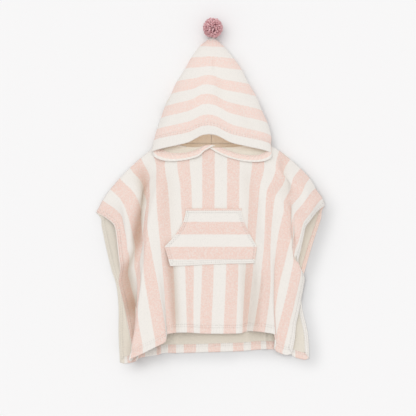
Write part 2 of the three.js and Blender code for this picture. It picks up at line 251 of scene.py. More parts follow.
@dataclass
class PonchoForm:
    """Shape of the whole poncho, from sizes on the cut to places on the page, in millimetres."""

    half_width: float = 298.0
    neck_half: float = 118.0
    front_neck_drop: float = 32.0
    back_neck_drop: float = 23.0
    shoulder_start: float = 9.5
    shoulder_end: float = 58.0
    neck_top_y: float = 131.0
    neck_lift_width: float = 62.0
    terry: float = 2.4
    seam_gap: float = 0.3
    seam_height: float = 3.7
    seam_follow: float = 0.45
    shoulder_roll: float = 50.0
    side_roll: float = 46.0
    sag_start: tuple[float, float] = (73.0, 122.0)
    sag_change: float = 100.0
    sag_power: float = 1.35
    fold_near: float = 60.0
    fold_far: float = 440.0
    fold_fade: float = 60.0
    back_free: float = 36.0
    ridge_foot: float = 0.25
    neck_inset: float = 2.0
    neck_clear: float = 0.2
    hood_depth: float = 266.0
    hood_side_reach: float = 121.0
    hood_overlap: tuple[float, float] = (9.0, -6.0)
    hood_lift: float = 4.5
    hood_lift_until: float = 60.0
    hood_lift_fade: float = 40.0
    hood_turn: float = 12.0
    hood_turn_share: float = 0.3
    hood_curl: tuple[float, float] = (4.0, 8.0)
    hang_until: float = 140.0
    route_points: int = 121
    search_steps: int = 6
    on_front_until: float = 138.0
    on_front_fade: float = 22.0
    wing_drop: tuple[float, float, float] = (31.0, 0.6, 50.0)
    wing_sweep: tuple[float, float] = (52.0, 40.0)
    wing_clearance: float = 4.4
    wing_bridge: float = 9.0
    wing_arch: tuple[float, float, float] = (7.0, -7.0, 16.0)
    front_sag: Table = Table(
        ("down", "left", "right"),
        ((0, 121, 108), (60, 117, 101), (240, 88, 72), (440, 69, 50)),
    )
    back_sag: Table = Table(
        ("down", "left", "right"),
        ((0, 121, 108), (60, 117, 101), (240, 76, 66), (485, 28, 19)),
    )
    front_middle: Table = Table(
        ("down", "height", "drift"),
        ((0, 30, 2), (100, 38, 2), (200, 34, 1), (300, 27, 0), (400, 19, -4), (450, 15, -6)),
    )
    front_folds: tuple[Fold, ...] = (
        Fold(-138, -272, 10, 600, (20, 62), 84, (-24, -32)),
        Fold(-178, -250, 30, 250, (20, 18), 52, (20, 14)),
        Fold(-262, -266, 38, 600, (36, 2), 52, (-12, -8)),
        Fold(-148, -146, 170, 600, (0, 36), 52, (0, 22)),
        Fold(-48, -48, 60, 600, (3, 30), 76, (2, 8)),
        Fold(-98, -98, 100, 600, (0, 4), 50, (0, 4)),
        Fold(80, 92, 60, 600, (4, 34), 70, (-2, -7)),
        Fold(126, 132, 10, 600, (3, 14), 44, (8, 17)),
        Fold(130, 224, 60, 600, (12, 58), 80, (-12, -13)),
        Fold(170, 400, 8, 260, (18, 24), 60, (12, 10)),
        Fold(135, 135, -60, 60, (-10, -10), 40, (0, 0)),
        Fold(238, 256, 20, 600, (27, 10), 44, (0, 0)),
        Fold(288, 290, 30, 420, (26, 4), 38, (-12, -8)),
    )
    side_open: Table = Table(
        ("down", "left", "right"),
        (
            (58, 0, 0), (90, 0.8, 0.8), (150, 1, 1), (200, 0.7, 0.6),
            (228, 0, 0), (292, 0, 0), (340, 0.6, 0.6), (450, 0.7, 0.8),
        ),
    )
    front_hem: Table = Table(
        ("across", "down"),
        (
            (-298, 440), (-240, 454), (-190, 452), (-100, 440), (0, 443), (80, 442),
            (120, 438), (165, 431), (215, 429), (248, 444), (298, 445),
        ),
    )
    back_hem: Table = Table(
        ("across", "down"),
        (
            (-298, 485), (-100, 487), (0, 485), (100, 481),
            (200, 473), (240, 475), (262, 481), (298, 486),
        ),
    )
    back_edge: Table = Table(
        ("y", "left", "right"),
        (
            (-375, -203, 217), (-313, -206, 214), (-254, -206, 201), (-205, -211, 199),
            (-170, -222, 208), (-115, -235, 224), (-52, -248, 245), (-30, -252, 252),
        ),
    )
    # Across the cut, share of the spare width taken in, width and height
    back_ridges: tuple[tuple[float, float, float, float], ...] = (
        (88, 0.22, 60, 3),
        (150, 0.33, 60, 5),
        (238, 0.45, 70, 6),
    )
    hood_rings: Table = Table(
        (
            "reach", "ridge_x", "ridge_y", "crown",
            "left_x", "left_y", "right_x", "right_y", "side",
        ),
        (
            (0, -6, 126.5, 62, -130, 92, 133, 90, 29),
            (20, -7.7, 146, 66, -125.5, 117, 130, 110, 22),
            (47, -7.7, 169, 68, -120, 140, 131, 128, 16),
            (75, -9, 192.5, 67, -111, 165, 124, 155, 13),
            (102, -10, 214.5, 63, -102, 190, 111, 181.5, 12),
            (129, -10, 235, 57, -89, 217, 98, 212, 12),
            (157, -7, 256, 50, -76, 245, 82.5, 239, 12),
            (184, -1, 276, 42, -58, 273, 67, 269.5, 11),
            (211, -1, 298, 33, -45, 297, 49.5, 295, 10),
            (239, 1, 321, 24, -25, 323, 27.5, 321, 9),
            (266, 2, 343, 15, -4, 341, 7, 341, 7),
        ),
    )
    hood_fall: Table = Table(
        ("across", "fall"),
        ((0, 0), (0.12, 0.07), (0.23, 0.27), (0.35, 0.5), (0.55, 0.68), (0.8, 0.86), (1, 1)),
    )

    @staticmethod
    def by_side(table: Table, across: np.ndarray, at: np.ndarray) -> np.ndarray:
        """Reads the left or the right column, by the side that each place is on."""
        return np.where(across < 0, table.read("left", at), table.read("right", at))

    def sag(self, table: Table, across: np.ndarray, down: np.ndarray) -> np.ndarray:
        """How far the cloth at a place slopes down the page.

        Args:
            table: the sag at each side's edge, by distance down.
            across: places across the cut.
            down: places down the cut.

        Returns:
            The distances.
        """
        start = lerp(*self.sag_start, ease((down - self.fold_near) / self.sag_change))
        share = np.maximum(0.0, (np.abs(across) - start) / (self.half_width - start))
        return self.by_side(table, across, down) * share**self.sag_power

    def top_edge(self, across: np.ndarray, neck_drop: float) -> np.ndarray:
        """Distance down the cut of a panel's top edge: a neckline, then the sloping shoulder.

        Args:
            across: places across the cut.
            neck_drop: depth of the neckline.

        Returns:
            The top edge's distance down the cut.
        """
        a = np.abs(across)
        neck = neck_drop - (neck_drop - self.shoulder_start) * (a / self.neck_half) ** 4
        t = (a - self.neck_half) / (self.half_width - self.neck_half)
        shoulder = self.shoulder_start + (self.shoulder_end - self.shoulder_start) * t
        return np.where(a < self.neck_half, neck, shoulder)

    def fold_front(self, across: np.ndarray, down: np.ndarray) -> tuple[np.ndarray, np.ndarray]:
        """Sideways place and height of the front after its folds.

        Args:
            across: places across the cut.
            down: places down the cut.

        Returns:
            The sideways places and the heights.
        """
        x = across + self.front_middle.read("drift", down)
        z = self.front_middle.read("height", down)
        for fold in self.front_folds:
            far = (down - self.fold_near) / (self.fold_far - self.fold_near)
            at = lerp(fold.at_near, fold.at_far, far)
            outward = np.sign(at)
            present = ease((down - fold.start) / self.fold_fade)
            present = present * ease((fold.stop - down) / self.fold_fade)
            length = min(fold.stop, self.fold_far) - fold.start
            run = np.clip((down - fold.start) / length, 0.0, 1.0)
            past = ramp(outward * (across - at) / fold.width + 0.5)
            x = x - outward * present * lerp(*fold.hide, run) * past
            z = z + present * lerp(*fold.climb, run) * past
        return x, z

    def front_point(self, across: np.ndarray, down: np.ndarray) -> np.ndarray:
        """Middle surface of the front panel.

        Args:
            across: places across the cut.
            down: places down the cut.

        Returns:
            One row of x, y and z for each place.
        """
        x, z = self.fold_front(across, down)
        a = np.abs(across)
        top = self.top_edge(across, self.front_neck_drop)
        neck_lift = ease((self.neck_half - a) / self.neck_lift_width)
        opened = np.clip(self.by_side(self.side_open, across, down), 0.0, 1.0)
        shoulder = neck_lift + (1 - neck_lift) * rise((down - top) / self.shoulder_roll)
        edge = opened + (1 - opened) * rise((self.half_width - a) / self.side_roll)
        height = self.seam_height + shoulder * edge * (z - self.seam_height)
        y = self.neck_top_y - down - self.sag(self.front_sag, across, down)
        return np.stack((x, y, height), -1)

    def back_point(self, across: np.ndarray, down: np.ndarray) -> np.ndarray:
        """Middle surface of the back panel, flat but for its low ridges under the front.

        Args:
            across: places across the cut.
            down: places down the cut.

        Returns:
            One row of x, y and z for each place.
        """
        outward = np.where(across < 0, -1.0, 1.0)
        a = np.abs(across)
        y = self.neck_top_y - down - self.sag(self.back_sag, across, down)
        spare = self.half_width - np.abs(self.by_side(self.back_edge, across, y))
        top = self.top_edge(across, self.back_neck_drop)
        free = ease((down - top) / self.back_free)
        x = a.copy()
        z = np.full_like(a, self.terry / 2)
        for at, share, width, height in self.back_ridges:
            past = ease((a - at) / width + 0.5)
            x = x - spare * share * past
            z = z + free * height * np.maximum(0.0, 4 * past * (1 - past) - self.ridge_foot)
        seam_x = self.fold_front(across, lerp(top, down, self.seam_follow))[0]
        return np.stack((lerp(seam_x, outward * x, free), y, z), -1)

    def front_height_at(self, x: np.ndarray, y: np.ndarray) -> np.ndarray:
        """Height of the front over places on the page, found in a few steps.

        Args:
            x: places to the right on the page.
            y: places up the page.

        Returns:
            The heights.
        """
        across = np.clip(x, -self.half_width, self.half_width)
        down = self.neck_top_y - y
        for _ in range(self.search_steps):
            level = self.neck_top_y - y - self.sag(self.front_sag, across, down)
            down = np.maximum(self.top_edge(across, self.front_neck_drop), level)
            across = across + x - self.fold_front(across, down)[0]
            across = np.clip(across, -self.half_width, self.half_width)
        return self.front_point(across, down)[..., 2]

    def neck_end(self, side: Side, reach: float) -> np.ndarray:
        """Place on the page where a ring of the hood is sewn to the neckline.

        Args:
            side: which half of the ring.
            reach: distance of the ring from the face edge.

        Returns:
            The place's x and y.
        """
        centre = self.hood_overlap[0] if side is Side.LEFT else -self.hood_overlap[1]
        edge = self.neck_half - self.neck_inset
        on_front = reach <= self.hood_side_reach
        if on_front:
            a = lerp(-centre, edge, reach / self.hood_side_reach)
        else:
            run = (self.hood_depth - reach) / (self.hood_depth - self.hood_side_reach)
            a = lerp(self.seam_gap / 2, edge, run)
        x = np.array(side.value * a)
        down = self.top_edge(x, self.front_neck_drop if on_front else self.back_neck_drop)
        y = self.neck_top_y - down - self.sag(self.front_sag, x, down)
        beyond = 0.0 if on_front else self.seam_gap + self.neck_clear
        return np.array((float(x), float(y) + beyond))

    def hood_half(self, side: Side, reach: float, t: np.ndarray) -> np.ndarray:
        """Half a ring of the hood, from its crease over the outline and down to the neckline.

        Args:
            side: which half.
            reach: distance of the ring from the face edge.
            t: shares of the way from the crease to the neckline.

        Returns:
            One row of x, y and z for each share.
        """
        name = side.name.lower()
        ring = {c: float(self.hood_rings.read(c, reach)) for c in self.hood_rings.columns[1:]}
        outline = np.array((ring[f"{name}_x"], ring[f"{name}_y"]))
        hang = 1 - float(ease(np.array(reach / self.hang_until)))
        curl = self.hood_curl[0 if side is Side.LEFT else 1] * hang
        turn = t * math.pi
        across_y = lerp(ring["ridge_y"], outline[1], self.hood_fall.read("fall", np.sin(turn)))
        upper = np.stack((
            lerp(ring["ridge_x"], outline[0], np.sin(turn)),
            across_y - curl * (1 - np.cos(turn)) ** 3,
            lerp(ring["side"], ring["crown"], np.cos(turn)),
        ), -1)
        outline[1] -= curl
        route = self._under_route(side, reach, outline, curl, hang)
        under = self._under_half(side, reach, t, route, ring["side"])
        return np.where((t <= 0.5)[:, None], upper, under)

    def _under_route(
        self, side: Side, reach: float, outline: np.ndarray, curl: float, hang: float,
    ) -> np.ndarray:
        """Route on the page from a ring's outline to its end at the neckline.

        Args:
            side: which half.
            reach: distance of the ring from the face edge.
            outline: where the ring turns under.
            curl: how far the outline has curled down the page.
            hang: how far the ring hangs down as a wing, 0 to 1.

        Returns:
            Rows of x and y along the route.
        """
        end = self.neck_end(side, reach)
        third = (end - outline) / 3.0
        wing = (1 - min(reach / self.hood_side_reach, 1.0)) ** 2
        least, growth, most = self.wing_drop
        drop = min(least + growth * reach, most) - curl
        first = lerp(outline + third, outline + np.array((0.0, -drop)), hang)
        aside, below = self.wing_sweep
        second = end + np.array((side.value * aside, -below)) * wing - third * (1 - wing)
        k = np.linspace(0.0, 1.0, self.route_points)[:, None]
        route = (1 - k) ** 3 * outline + 3 * (1 - k) ** 2 * k * first
        route = route + 3 * (1 - k) * k**2 * second + k**3 * end
        if side is Side.LEFT:
            height, centre, half = self.wing_arch
            route[:, 1] += height * wing * np.exp(-(((route[:, 0] - centre) / half) ** 4))
        return route

    def _under_half(
        self, side: Side, reach: float, t: np.ndarray, route: np.ndarray, high: float,
    ) -> np.ndarray:
        """Lower half of a ring, which follows its route and lies on what is under it.

        Args:
            side: which half.
            reach: distance of the ring from the face edge.
            t: shares of the way from the crease to the neckline.
            route: rows of x and y from the outline to the neckline.
            high: height of the outline.

        Returns:
            One row of x, y and z for each share.
        """
        steps = np.linalg.norm(np.diff(route, axis=0), axis=1)
        gone_by = np.concatenate(((0.0,), np.cumsum(steps)))
        length = gone_by[-1]
        k = (t - 0.5) * 2.0
        corner = np.clip(k / self.hood_turn_share, 0.0, 1.0) * (math.pi / 2)
        past = np.clip((k - self.hood_turn_share) / (1 - self.hood_turn_share), 0.0, 1.0)
        turned = min(self.hood_turn, length / 2)
        gone = turned * (1 - np.cos(corner)) + (length - turned) * past
        px = np.interp(gone, gone_by, route[:, 0])
        py = np.interp(gone, gone_by, route[:, 1])
        on_front = float(ease(np.array((self.on_front_until - reach) / self.on_front_fade)))
        cross = self.hood_lift if side is Side.LEFT else 0.0
        cross = cross * ease((self.hood_lift_until - np.abs(px)) / self.hood_lift_fade)
        inward = px - side.value * self.wing_bridge
        below = py - self.wing_bridge
        over = self.wing_clearance + cross + np.maximum.reduce([
            self.front_height_at(x, y) for x in (px, inward) for y in (py, below)
        ])
        floor = lerp(self.terry / 2, over, on_front)
        z = floor + np.maximum(0.0, high - floor) * (1 - np.sin(corner))
        return np.stack((px, py, z), -1)


def finish_mesh(name: str, bm: bmesh.types.BMesh) -> bpy.types.Object:
    """Turns a bmesh into a smooth object at the origin, in the scene.

    Args:
        name: name of the object and its mesh.
        bm: the bmesh, which is freed.

    Returns:
        The object.
    """
    for face in bm.faces:
        face.smooth = True
    mesh = bpy.data.meshes.new(name)
    bm.to_mesh(mesh)
    bm.free()
    piece = bpy.data.objects.new(name, mesh)
    bpy.context.collection.objects.link(piece)
    return piece


@dataclass
class ClothPanel:
    """A panel of cloth: a grid laid on its form, then given its wall and hems."""

    name: str
    node: str
    slot: str
    columns: int
    rows: int
    thickness: float
    flat: tuple[float, float]
    held: str
    rests_on: tuple[str, ...]
    area: float | None = None
    upside: Face = Face.OUTSIDE
    creases: tuple[Crease, ...] = ()
    wrinkle: float = 0.8
    wrinkle_size: float = 46.0
    fine_share: float = 0.35
    fine_size: float = 2.7
    seed: float = 1.0
    fine_seed: float = 9.0
    hem_swell: float = 1.45
    hem_step: tuple[float, float] = (1.06, 0.12)
    edge_round: float = 2.2
    edge_wall: float = 0.3
    groove: float = 0.7
    groove_width: float = 0.09
    clearance: float = 0.1

    def cut(self, s: np.ndarray, t: np.ndarray) -> tuple[np.ndarray, np.ndarray]:
        """Places on the cut for shares across and down the grid."""
        raise NotImplementedError

    def place(self, u: np.ndarray, v: np.ndarray) -> np.ndarray:
        """Middle surface of the panel at places on its cut, without creases."""
        raise NotImplementedError

    def hem_share(self, u: np.ndarray, v: np.ndarray) -> np.ndarray:
        """Distance from the nearest hemmed edge, as a share of that hem's depth."""
        raise NotImplementedError

    def edge_gap(self, u: np.ndarray, v: np.ndarray) -> np.ndarray:
        """Distance from the nearest cut edge, in millimetres."""
        raise NotImplementedError

    def stripe_at(self, u: np.ndarray, v: np.ndarray) -> np.ndarray:
        """Distance along which the stripes are counted on the outside."""
        raise NotImplementedError

    def turned_at(self, u: np.ndarray, v: np.ndarray) -> np.ndarray:
        """Distance along which the stripes are counted on the turned hems."""
        raise NotImplementedError

    def sewn_at(self, u: np.ndarray, v: np.ndarray) -> tuple[np.ndarray, np.ndarray]:
        """Distance along the nearest hem, and distance outward from its inner edge."""
        raise NotImplementedError

    def lift(self, u: np.ndarray, v: np.ndarray) -> np.ndarray:
        """Height of creases, small wrinkles and hem seams over the plain form.

        Args:
            u: places across the cut.
            v: places down the cut.

        Returns:
            The heights, in millimetres.
        """
        uv = np.stack((u, v), -1)
        fine = wander(uv, self.wrinkle_size / self.fine_size, self.seed + self.fine_seed)
        total = wander(uv, self.wrinkle_size, self.seed) + self.fine_share * fine
        total = self.wrinkle * total
        for crease in self.creases:
            total = total + crease.height * crease.strength(u, v)
        seam = (self.hem_share(u, v) - 1.0) / self.groove_width
        return total - self.groove * np.exp(-(seam**2))

    def shown_hem(self, u: np.ndarray, share: np.ndarray) -> np.ndarray:
        """Hem shares for the reverse's colours, above 1 where the reverse is plain."""
        return share

    def painted_shade_at(self, u: np.ndarray, v: np.ndarray) -> np.ndarray:
        """Painted shade: how much darker the cloth's colour is made down in the creases, 0 to 1."""
        return sum((c.shade * c.strength(u, v) for c in self.creases), np.zeros_like(u))

    def painted_glow_at(self, u: np.ndarray, v: np.ndarray) -> np.ndarray:
        """Painted light: how strongly the reverse glows, in place of light coming to it through the
        thin cloth, 0 to 1.
        """
        return np.zeros_like(u)

    def build(self) -> bpy.types.Object:
        """Makes the panel's mesh with its wall.

        Returns:
            The panel's object, at the origin, in metres.
        """
        bm = bmesh.new()
        bmesh.ops.create_grid(bm, x_segments=self.columns, y_segments=self.rows, size=1.0)
        grid = np.array([vert.co for vert in bm.verts])
        u, v = self.cut((1 + grid[:, 0]) / 2, (1 - grid[:, 1]) / 2)
        for vert, point in zip(bm.verts, self.place(u, v)):
            vert.co = Vector(point)
        bm.normal_update()
        share, gap = self.hem_share(u, v), self.edge_gap(u, v)
        weights = self.wall_share(share, gap)
        lowest = weights * self.thickness * self.hem_swell / 2 + self.clearance
        for vert, high, least in zip(bm.verts, self.lift(u, v), lowest):
            moved = vert.co + vert.normal * float(high)
            vert.co = Vector((np.array(moved) + CENTRING) * MM)
            vert.co.z = max(vert.co.z, least * MM)
        none = np.zeros_like(u)
        # The light mark holds painted light (the reverse's glow) and painted shade (the cloth
        # darkened in creases)
        self._mark(bm, {
            "cut": (self.stripe_at(u, v), none, none),
            "turned": (self.turned_at(u, v), self.shown_hem(u, share), gap),
            "sewn": (*self.sewn_at(u, v), none),
            "light": (self.painted_glow_at(u, v), self.painted_shade_at(u, v), none),
        })
        piece = finish_mesh(self.name, bm)
        self._wall(piece, weights)
        return piece

    @staticmethod
    def _mark(bm: bmesh.types.BMesh, marks: dict[str, tuple[np.ndarray, ...]]) -> None:
        """Stores three numbers for each point under each name, for the materials.

        Args:
            bm: the panel's bmesh.
            marks: three columns of numbers under each name.
        """
        layers = [bm.verts.layers.float_vector.new(name) for name in marks]
        for layer, columns in zip(layers, marks.values()):
            for vert, *numbers in zip(bm.verts, *columns):
                vert[layer] = Vector(numbers)

    def wall_share(self, share: np.ndarray, gap: np.ndarray) -> np.ndarray:
        """Thickness as a share of a double hem's: plain cloth is thinner, and edges are round.

        Args:
            share: distances from the nearest hemmed edge, as shares of its hem.
            gap: distances from the nearest edge, in millimetres.

        Returns:
            The shares.
        """
        plain = 1.0 / self.hem_swell
        inner, fade = self.hem_step
        hem = plain + (1 - plain) * ease((inner - share) / fade)
        rounded = self.edge_wall + (1 - self.edge_wall) * rise(gap / self.edge_round)
        return np.minimum(1.0, hem * rounded)

    def _wall(self, piece: bpy.types.Object, weights: np.ndarray) -> None:
        """Gives the cloth its thickness.

        Args:
            piece: the panel's object.
            weights: thickness at each point, as a share of the most.
        """
        group = piece.vertex_groups.new(name="wall")
        for i, weight in enumerate(weights):
            group.add([i], float(weight), "REPLACE")
        wall = piece.modifiers.new("wall", "SOLIDIFY")
        wall.thickness = self.thickness * self.hem_swell * MM
        wall.offset = 0.0
        wall.vertex_group = group.name
        wall.material_offset = 1
        wall.use_rim = True

    def dress(self, piece: bpy.types.Object, finish: "TerryFinish") -> None:
        """Puts a terry's two faces on the panel, the one that looks up first."""
        faces = [finish.make(face) for face in Face]
        for material in faces if self.upside is Face.OUTSIDE else reversed(faces):
            piece.data.materials.append(material)

    def declare(self, piece: bpy.types.Object) -> None:
        """Attaches the panel to the root body and hides the solid that it stands for."""
        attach(piece, "root")
        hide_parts(self.node)


@dataclass
class BodyPanel(ClothPanel):
    """The front or the back panel, whose stripes run down the body."""

    form: PonchoForm = field(default_factory=PonchoForm)
    front: bool = True
    crowding: tuple[float, float] = (0.4, 0.42)
    hem_depth: float = 19.0
    side_depth: float = 9.0
    centre: float = -8.8
    tones: tuple[float, float] = (0.0, 0.0)
    vent_tones: tuple[float, float] = (0.0, 0.0)
    vent_start: float = 285.0
    plain_side: Side | None = None
    corner_width: float = 16.0
    corner_rise: float = 6.0
    # Painted light on the back's reverse at the right armhole and the neck
    armhole_glow: float = 0.07
    armhole_at: tuple[float, float] = (205.0, 300.0)
    armhole_fade: tuple[float, float] = (50.0, 60.0)
    neck_glow: float = 0.25
    neck_at: tuple[float, float] = (122.0, 64.0)
    neck_fade: float = 30.0

    def _top(self, u: np.ndarray) -> np.ndarray:
        """Top edge of this panel at places across it."""
        drop = self.form.front_neck_drop if self.front else self.form.back_neck_drop
        return self.form.top_edge(u, drop)

    def _hem(self, u: np.ndarray) -> np.ndarray:
        """Length of the panel at places across it."""
        table = self.form.front_hem if self.front else self.form.back_hem
        corner = ease((np.abs(u) - self.form.half_width + self.corner_width) / self.corner_width)
        return table.read("down", u) - self.corner_rise * corner**2

    def _hem_shares(self, u: np.ndarray, v: np.ndarray) -> tuple[np.ndarray, np.ndarray]:
        """Distances from the bottom and from the nearer side, as shares of their hems."""
        low = (self._hem(u) - v) / self.hem_depth
        return low, (self.form.half_width - np.abs(u)) / self.side_depth

    def cut(self, s: np.ndarray, t: np.ndarray) -> tuple[np.ndarray, np.ndarray]:
        """Places on the cut, with columns and rows crowded toward the edges."""
        u = self.form.half_width * (2 * crowd(s, self.crowding[0]) - 1)
        return u, lerp(self._top(u), self._hem(u), crowd(t, self.crowding[1]))

    def place(self, u: np.ndarray, v: np.ndarray) -> np.ndarray:
        """Middle surface of the panel."""
        return self.form.front_point(u, v) if self.front else self.form.back_point(u, v)

    def hem_share(self, u: np.ndarray, v: np.ndarray) -> np.ndarray:
        """Distance from the hem or a side hem, as a share of its depth."""
        return np.minimum(*self._hem_shares(u, v))

    def shown_hem(self, u: np.ndarray, share: np.ndarray) -> np.ndarray:
        """A plain side's hem has the reverse's colour."""
        if self.plain_side is None:
            return share
        outward = self.plain_side.value * u
        return np.where(self.form.half_width - outward < self.side_depth, 2.0, share)

    def edge_gap(self, u: np.ndarray, v: np.ndarray) -> np.ndarray:
        """Distance from the nearest edge."""
        aside = self.form.half_width - np.abs(u)
        return np.minimum.reduce((self._hem(u) - v, aside, v - self._top(u)))

    def stripe_at(self, u: np.ndarray, v: np.ndarray) -> np.ndarray:
        """Stripes are counted across the body."""
        return u

    def turned_at(self, u: np.ndarray, v: np.ndarray) -> np.ndarray:
        """The turned hem repeats the stripes, and each side hem shows one tone.

        Args:
            u: places across the cut.
            v: places down the cut.

        Returns:
            The distances by which the stripes are coloured.
        """
        low, aside = self._hem_shares(u, v)
        upper = np.where(u < 0, *self.tones)
        lower = np.where(u < 0, *self.vent_tones)
        tone = np.where(v < self.vent_start, upper, lower)
        one_tone = self.centre + PERIOD / 2 * (1 - tone)
        return np.where(aside < low, one_tone, u)

    def sewn_at(self, u: np.ndarray, v: np.ndarray) -> tuple[np.ndarray, np.ndarray]:
        """Rows run across the hem, and down each side hem."""
        low, aside = self._hem_shares(u, v)
        beside = aside < low
        outward = np.where(beside, (1 - aside) * self.side_depth, (1 - low) * self.hem_depth)
        return np.where(beside, v, u), outward

    def painted_glow_at(self, u: np.ndarray, v: np.ndarray) -> np.ndarray:
        """Painted light on the reverse at the right armhole and the neck, which stand open under one
        thin layer.

        Args:
            u: places across the cut.
            v: places down the cut.

        Returns:
            How strongly the reverse glows there as painted light, 0 to 1.
        """
        if self.front:
            return np.zeros_like(u)
        across, until = self.armhole_at
        fade_across, fade_down = self.armhole_fade
        armhole = ease((u - across) / fade_across) * ease((until - v) / fade_down)
        aside, below = self.neck_at
        neck = ease((below - v) / self.neck_fade) * ease((aside - np.abs(u)) / self.neck_fade)
        return self.armhole_glow * armhole + self.neck_glow * neck


@dataclass
class HoodPanel(ClothPanel):
    """The hood: one rectangle folded at its crease, with its lower fronts turned out as wings."""

    form: PonchoForm = field(default_factory=PonchoForm)
    half_length: float = 273.0
    crowding: float = 0.5
    hem_depth: float = 27.0
    turn_shift: float = 0.5
    tip_start: float = 259.0
    pale_at: float = 6.0
    seam_edge: float = 0.6
    # Painted light: how strongly the wings and the room inside the hood glow
    glow: tuple[float, float] = (0.03, 0.27)
    glow_in: tuple[float, float] = (24.0, 80.0)
    glow_down: tuple[float, float] = (158.0, 50.0)

    def cut(self, s: np.ndarray, t: np.ndarray) -> tuple[np.ndarray, np.ndarray]:
        """Places along a ring and in from the face edge."""
        inward = self.form.hood_depth * (1 - crowd(t, self.crowding))
        return (2 * s - 1) * self.half_length, inward

    def place(self, u: np.ndarray, v: np.ndarray) -> np.ndarray:
        """Middle surface of the hood, ring by ring.

        Args:
            u: places along a ring, from its crease.
            v: distances in from the face edge.

        Returns:
            One row of x, y and z for each place.
        """
        points = np.zeros((len(u), 3))
        for reach in np.unique(np.round(v, 6)):
            ring = np.flatnonzero(np.abs(v - reach) < 1e-4)
            for side in Side:
                half = ring[(u[ring] < 0) if side is Side.LEFT else (u[ring] >= 0)]
                t = np.abs(u[half]) / self.half_length
                points[half] = self.form.hood_half(side, float(reach), t)
        return points

    def hem_share(self, u: np.ndarray, v: np.ndarray) -> np.ndarray:
        """Distance from the face edge as a share of its hem."""
        return v / self.hem_depth

    def edge_gap(self, u: np.ndarray, v: np.ndarray) -> np.ndarray:
        """Distance from the nearest edge."""
        ends = self.half_length - np.abs(u) + self.seam_edge
        return np.minimum.reduce((v, ends, self.form.hood_depth - v + self.seam_edge))

    def stripe_at(self, u: np.ndarray, v: np.ndarray) -> np.ndarray:
        """Stripes are counted in from the face edge, up to the pale tip."""
        return np.where(v > self.tip_start, self.pale_at, v)

    def turned_at(self, u: np.ndarray, v: np.ndarray) -> np.ndarray:
        """The turned hem runs on past the face edge."""
        return -v - self.turn_shift

    def sewn_at(self, u: np.ndarray, v: np.ndarray) -> tuple[np.ndarray, np.ndarray]:
        """Rows run along the face edge."""
        return u, self.hem_depth - v

    def painted_glow_at(self, u: np.ndarray, v: np.ndarray) -> np.ndarray:
        """Painted light: the wings glow a little, and the room inside the hood more."""
        inside = ease((v - self.glow_in[0]) / self.glow_in[1])
        below = ease((np.abs(u) - self.glow_down[0]) / self.glow_down[1])
        return lerp(*self.glow, inside) * below


@dataclass
class PocketPanel(ClothPanel):
    """The pouch pocket, which lies on the front."""

    form: PonchoForm = field(default_factory=PonchoForm)
    top: float = 166.0
    middle: float = 249.0
    bottom: float = 291.0
    top_half: float = 67.0
    bottom_half: float = 122.0
    flare: float = 1.8
    crowding: float = 0.6
    inset: tuple[float, float] = (9.0, 3.0)
    hem_drop: float = 1.5
    hem_rise: float = 5.5
    rise_run: float = 1.7
    hem_depth: float = 10.0
    top_strip: float = 4.6
    stripe_centre: float = 209.0
    stand_off: float = 0.5
    probe: float = 2.0

    def _side(self, v: np.ndarray, left: np.ndarray) -> np.ndarray:
        """Half the pocket's width at places down it, narrower again toward the bottom."""
        slant = np.clip((v - self.top) / (self.middle - self.top), 0.0, 1.0)
        low = np.clip((v - self.middle) / (self.bottom - self.middle), 0.0, 1.0)
        half = lerp(self.top_half, self.bottom_half, slant**self.flare)
        return half - np.where(left, *self.inset) * low

    def _bottom(self, across: np.ndarray) -> np.ndarray:
        """Bottom edge, which rises to the right, for shares -1 to 1 across the pocket."""
        rising = ease((across + 1) / self.rise_run)
        return self.bottom + self.hem_drop - self.hem_rise * rising

    def cut(self, s: np.ndarray, t: np.ndarray) -> tuple[np.ndarray, np.ndarray]:
        """Places on the cut, wider toward the bottom."""
        across = 2 * crowd(s, self.crowding) - 1
        v = lerp(self.top, self._bottom(across), crowd(t, self.crowding))
        return across * self._side(v, across < 0), v

    def place(self, u: np.ndarray, v: np.ndarray) -> np.ndarray:
        """The front's own points, moved out by both half walls and the seam gap.

        Args:
            u: places across the cut.
            v: places down the cut.

        Returns:
            One row of x, y and z for each place.
        """
        here = self.form.front_point(u, v)
        right = self.form.front_point(u + self.probe, v) - here
        up = self.form.front_point(u, v - self.probe) - here
        normal = np.cross(right, up)
        normal /= np.linalg.norm(normal, axis=1)[:, None]
        walls = (self.form.terry + self.thickness) / 2
        return here + normal * (walls + self.form.seam_gap + self.stand_off)

    def _beside(self, u: np.ndarray, v: np.ndarray) -> np.ndarray:
        """Distance from the nearer side edge."""
        return self._side(v, u < 0) - np.abs(u)

    def edge_gap(self, u: np.ndarray, v: np.ndarray) -> np.ndarray:
        """Distance from the nearest edge."""
        under = self._bottom(u / self.bottom_half) - v
        return np.maximum(0.0, np.minimum.reduce((self._beside(u, v), v - self.top, under)))

    def hem_share(self, u: np.ndarray, v: np.ndarray) -> np.ndarray:
        """Distance from the nearest edge as a share of the pocket's turned edge."""
        return self.edge_gap(u, v) / self.hem_depth

    def stripe_at(self, u: np.ndarray, v: np.ndarray) -> np.ndarray:
        """Stripes are counted down the pocket, with a narrow one along its top."""
        return np.where(v - self.top < self.top_strip, self.stripe_centre, v)

    def turned_at(self, u: np.ndarray, v: np.ndarray) -> np.ndarray:
        """The reverse has the same stripes."""
        return v

    def sewn_at(self, u: np.ndarray, v: np.ndarray) -> tuple[np.ndarray, np.ndarray]:
        """Rows run along each edge of the pocket."""
        gap = self.edge_gap(u, v)
        beside = self._beside(u, v) <= gap + 1e-6
        return np.where(beside, v, u), self.hem_depth - gap


